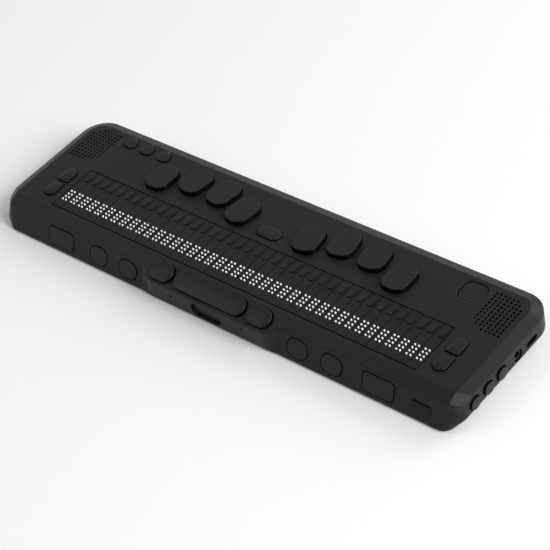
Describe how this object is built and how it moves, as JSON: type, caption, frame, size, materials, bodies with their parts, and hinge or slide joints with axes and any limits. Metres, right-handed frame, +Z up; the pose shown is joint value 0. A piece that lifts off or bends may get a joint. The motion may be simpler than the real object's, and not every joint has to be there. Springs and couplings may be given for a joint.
{
  "type": "braille display",
  "caption": "Braille display with a row of piezo cells, routing keys, entry keys, thumb keys, front keys, speakers and side ports.",
  "frame": {"origin": "under the middle of the case, on the surface that the feet stand on", "axes": "+X to the user's right along the braille line, +Y to the rear, +Z up"},
  "size_m": [0.3222, 0.089, 0.022],
  "materials": {
    "case": "fine matt grain",
    "glossy_key": "polished",
    "plain_key": "satin",
    "side_key": "satin",
    "cap": "satin",
    "dot": "smooth",
    "routing": "satin",
    "module": "plain",
    "board": "solder mask",
    "switch": "plain",
    "battery": "foil",
    "speaker": "plain",
    "metal": "drawn sheet",
    "jack": "plain",
    "rubber": "matt",
    "window": "translucent"
  },
  "bodies": {
    "housing": {"top_cover": "case", "bottom_case": "case", "cell_caps": "cap", "cell_modules": "module", "cell_board": "board", "battery": "battery", "key_board": "board", "main_board": "board", "speaker_left": "speaker", "speaker_right": "speaker", "thumb_board": "board", "front_board_left": "board", "front_board_right": "board", "side_board": "board", "key_switches": "switch", "audio_jack": "jack", "usb_c_port": "metal", "microphones": "switch", "card_socket": "metal", "rubber_feet": "rubber", "indicator_windows": "window"},
    "dot_1_key": {"dot_1_key": "glossy_key"},
    "dot_2_key": {"dot_2_key": "glossy_key"},
    "dot_3_key": {"dot_3_key": "glossy_key"},
    "dot_4_key": {"dot_4_key": "glossy_key"},
    "dot_5_key": {"dot_5_key": "glossy_key"},
    "dot_6_key": {"dot_6_key": "glossy_key"},
    "dot_7_key": {"dot_7_key": "glossy_key"},
    "dot_8_key": {"dot_8_key": "glossy_key"},
    "space_key": {"space_key": "plain_key"},
    "function_button_1": {"function_button_1": "plain_key"},
    "function_button_2": {"function_button_2": "plain_key"},
    "function_button_3": {"function_button_3": "plain_key"},
    "power_button": {"power_button": "plain_key"},
    "left_scroll_up_key": {"left_scroll_up_key": "plain_key"},
    "left_scroll_down_key": {"left_scroll_down_key": "plain_key"},
    "right_scroll_up_key": {"right_scroll_up_key": "plain_key"},
    "right_scroll_down_key": {"right_scroll_down_key": "plain_key"},
    "thumb_key_left": {"thumb_key_left": "glossy_key"},
    "thumb_bar": {"thumb_bar": "glossy_key"},
    "thumb_key_right": {"thumb_key_right": "glossy_key"},
    "front_key_left_inner": {"front_key_left_inner": "plain_key"},
    "front_key_left_middle": {"front_key_left_middle": "plain_key"},
    "front_key_left_outer": {"front_key_left_outer": "plain_key"},
    "front_key_right_inner": {"front_key_right_inner": "plain_key"},
    "front_key_right_middle": {"front_key_right_middle": "plain_key"},
    "front_key_right_outer": {"front_key_right_outer": "plain_key"},
    "side_button_1": {"side_button_1": "side_key"},
    "side_button_2": {"side_button_2": "side_key"},
    "side_button_3": {"side_button_3": "side_key"},
    "routing_group_1": {"routing_keys_1": "routing"},
    "routing_group_2": {"routing_keys_2": "routing"},
    "routing_group_3": {"routing_keys_3": "routing"},
    "routing_group_4": {"routing_keys_4": "routing"},
    "routing_group_5": {"routing_keys_5": "routing"},
    "routing_group_6": {"routing_keys_6": "routing"},
    "routing_group_7": {"routing_keys_7": "routing"},
    "routing_group_8": {"routing_keys_8": "routing"},
    "dots": {"braille_pins": "dot"}
  },
  "joints": [
    {"name": "dot_1_key_press", "type": "slide", "parent": "housing", "child": "dot_1_key", "axis": [0, 0, -1], "range_m": [0, 0.0015], "stiffness_N_per_m": 200, "springref_m": -0.001},
    {"name": "dot_2_key_press", "type": "slide", "parent": "housing", "child": "dot_2_key", "axis": [0, 0, -1], "range_m": [0, 0.0015], "stiffness_N_per_m": 200, "springref_m": -0.001},
    {"name": "dot_3_key_press", "type": "slide", "parent": "housing", "child": "dot_3_key", "axis": [0, 0, -1], "range_m": [0, 0.0015], "stiffness_N_per_m": 200, "springref_m": -0.001},
    {"name": "dot_4_key_press", "type": "slide", "parent": "housing", "child": "dot_4_key", "axis": [0, 0, -1], "range_m": [0, 0.0015], "stiffness_N_per_m": 200, "springref_m": -0.001},
    {"name": "dot_5_key_press", "type": "slide", "parent": "housing", "child": "dot_5_key", "axis": [0, 0, -1], "range_m": [0, 0.0015], "stiffness_N_per_m": 200, "springref_m": -0.001},
    {"name": "dot_6_key_press", "type": "slide", "parent": "housing", "child": "dot_6_key", "axis": [0, 0, -1], "range_m": [0, 0.0015], "stiffness_N_per_m": 200, "springref_m": -0.001},
    {"name": "dot_7_key_press", "type": "slide", "parent": "housing", "child": "dot_7_key", "axis": [0, 0, -1], "range_m": [0, 0.0015], "stiffness_N_per_m": 200, "springref_m": -0.001},
    {"name": "dot_8_key_press", "type": "slide", "parent": "housing", "child": "dot_8_key", "axis": [0, 0, -1], "range_m": [0, 0.0015], "stiffness_N_per_m": 200, "springref_m": -0.001},
    {"name": "space_key_press", "type": "slide", "parent": "housing", "child": "space_key", "axis": [0, 0, -1], "range_m": [0, 0.001], "stiffness_N_per_m": 300, "springref_m": -0.001},
    {"name": "function_button_1_press", "type": "slide", "parent": "housing", "child": "function_button_1", "axis": [0, 0, -1], "range_m": [0, 0.0006], "stiffness_N_per_m": 400, "springref_m": -0.001},
    {"name": "function_button_2_press", "type": "slide", "parent": "housing", "child": "function_button_2", "axis": [0, 0, -1], "range_m": [0, 0.0006], "stiffness_N_per_m": 400, "springref_m": -0.001},
    {"name": "function_button_3_press", "type": "slide", "parent": "housing", "child": "function_button_3", "axis": [0, 0, -1], "range_m": [0, 0.0006], "stiffness_N_per_m": 400, "springref_m": -0.001},
    {"name": "power_button_press", "type": "slide", "parent": "housing", "child": "power_button", "axis": [0, 0, -1], "range_m": [0, 0.0006], "stiffness_N_per_m": 400, "springref_m": -0.001},
    {"name": "left_scroll_up_key_press", "type": "slide", "parent": "housing", "child": "left_scroll_up_key", "axis": [0, 0, -1], "range_m": [0, 0.0008], "stiffness_N_per_m": 400, "springref_m": -0.001},
    {"name": "left_scroll_down_key_press", "type": "slide", "parent": "housing", "child": "left_scroll_down_key", "axis": [0, 0, -1], "range_m": [0, 0.0008], "stiffness_N_per_m": 400, "springref_m": -0.001},
    {"name": "right_scroll_up_key_press", "type": "slide", "parent": "housing", "child": "right_scroll_up_key", "axis": [0, 0, -1], "range_m": [0, 0.0008], "stiffness_N_per_m": 400, "springref_m": -0.001},
    {"name": "right_scroll_down_key_press", "type": "slide", "parent": "housing", "child": "right_scroll_down_key", "axis": [0, 0, -1], "range_m": [0, 0.0008], "stiffness_N_per_m": 400, "springref_m": -0.001},
    {"name": "thumb_key_left_press", "type": "slide", "parent": "housing", "child": "thumb_key_left", "axis": [0, 0.4237, -0.9058], "range_m": [0, 0.001], "stiffness_N_per_m": 300, "springref_m": -0.001},
    {"name": "thumb_bar_press", "type": "slide", "parent": "housing", "child": "thumb_bar", "axis": [0, 0.4237, -0.9058], "range_m": [0, 0.001], "stiffness_N_per_m": 300, "springref_m": -0.001},
    {"name": "thumb_key_right_press", "type": "slide", "parent": "housing", "child": "thumb_key_right", "axis": [0, 0.4237, -0.9058], "range_m": [0, 0.001], "stiffness_N_per_m": 300, "springref_m": -0.001},
    {"name": "front_key_left_inner_press", "type": "slide", "parent": "housing", "child": "front_key_left_inner", "axis": [0, 0.9244, -0.3815], "range_m": [0, 0.0008], "stiffness_N_per_m": 400, "springref_m": -0.001},
    {"name": "front_key_left_middle_press", "type": "slide", "parent": "housing", "child": "front_key_left_middle", "axis": [0, 0.9244, -0.3815], "range_m": [0, 0.0008], "stiffness_N_per_m": 400, "springref_m": -0.001},
    {"name": "front_key_left_outer_press", "type": "slide", "parent": "housing", "child": "front_key_left_outer", "axis": [0, 0.9244, -0.3815], "range_m": [0, 0.0008], "stiffness_N_per_m": 400, "springref_m": -0.001},
    {"name": "front_key_right_inner_press", "type": "slide", "parent": "housing", "child": "front_key_right_inner", "axis": [0, 0.9244, -0.3815], "range_m": [0, 0.0008], "stiffness_N_per_m": 400, "springref_m": -0.001},
    {"name": "front_key_right_middle_press", "type": "slide", "parent": "housing", "child": "front_key_right_middle", "axis": [0, 0.9244, -0.3815], "range_m": [0, 0.0008], "stiffness_N_per_m": 400, "springref_m": -0.001},
    {"name": "front_key_right_outer_press", "type": "slide", "parent": "housing", "child": "front_key_right_outer", "axis": [0, 0.9244, -0.3815], "range_m": [0, 0.0008], "stiffness_N_per_m": 400, "springref_m": -0.001},
    {"name": "side_button_1_press", "type": "slide", "parent": "housing", "child": "side_button_1", "axis": [-1, 0, 0], "range_m": [0, 0.0006], "stiffness_N_per_m": 400, "springref_m": -0.001},
    {"name": "side_button_2_press", "type": "slide", "parent": "housing", "child": "side_button_2", "axis": [-1, 0, 0], "range_m": [0, 0.0006], "stiffness_N_per_m": 400, "springref_m": -0.001},
    {"name": "side_button_3_press", "type": "slide", "parent": "housing", "child": "side_button_3", "axis": [-1, 0, 0], "range_m": [0, 0.0006], "stiffness_N_per_m": 400, "springref_m": -0.001},
    {"name": "routing_group_1_press", "type": "slide", "parent": "housing", "child": "routing_group_1", "axis": [0, 0, -1], "range_m": [0, 0.0004], "stiffness_N_per_m": 400, "springref_m": -0.001},
    {"name": "routing_group_2_press", "type": "slide", "parent": "housing", "child": "routing_group_2", "axis": [0, 0, -1], "range_m": [0, 0.0004], "stiffness_N_per_m": 400, "springref_m": -0.001},
    {"name": "routing_group_3_press", "type": "slide", "parent": "housing", "child": "routing_group_3", "axis": [0, 0, -1], "range_m": [0, 0.0004], "stiffness_N_per_m": 400, "springref_m": -0.001},
    {"name": "routing_group_4_press", "type": "slide", "parent": "housing", "child": "routing_group_4", "axis": [0, 0, -1], "range_m": [0, 0.0004], "stiffness_N_per_m": 400, "springref_m": -0.001},
    {"name": "routing_group_5_press", "type": "slide", "parent": "housing", "child": "routing_group_5", "axis": [0, 0, -1], "range_m": [0, 0.0004], "stiffness_N_per_m": 400, "springref_m": -0.001},
    {"name": "routing_group_6_press", "type": "slide", "parent": "housing", "child": "routing_group_6", "axis": [0, 0, -1], "range_m": [0, 0.0004], "stiffness_N_per_m": 400, "springref_m": -0.001},
    {"name": "routing_group_7_press", "type": "slide", "parent": "housing", "child": "routing_group_7", "axis": [0, 0, -1], "range_m": [0, 0.0004], "stiffness_N_per_m": 400, "springref_m": -0.001},
    {"name": "routing_group_8_press", "type": "slide", "parent": "housing", "child": "routing_group_8", "axis": [0, 0, -1], "range_m": [0, 0.0004], "stiffness_N_per_m": 400, "springref_m": -0.001},
    {"name": "dots_drop", "type": "slide", "parent": "housing", "child": "dots", "axis": [0, 0, -1], "range_m": [0, 0.0007], "stiffness_N_per_m": 400, "springref_m": -0.001}
  ]
}
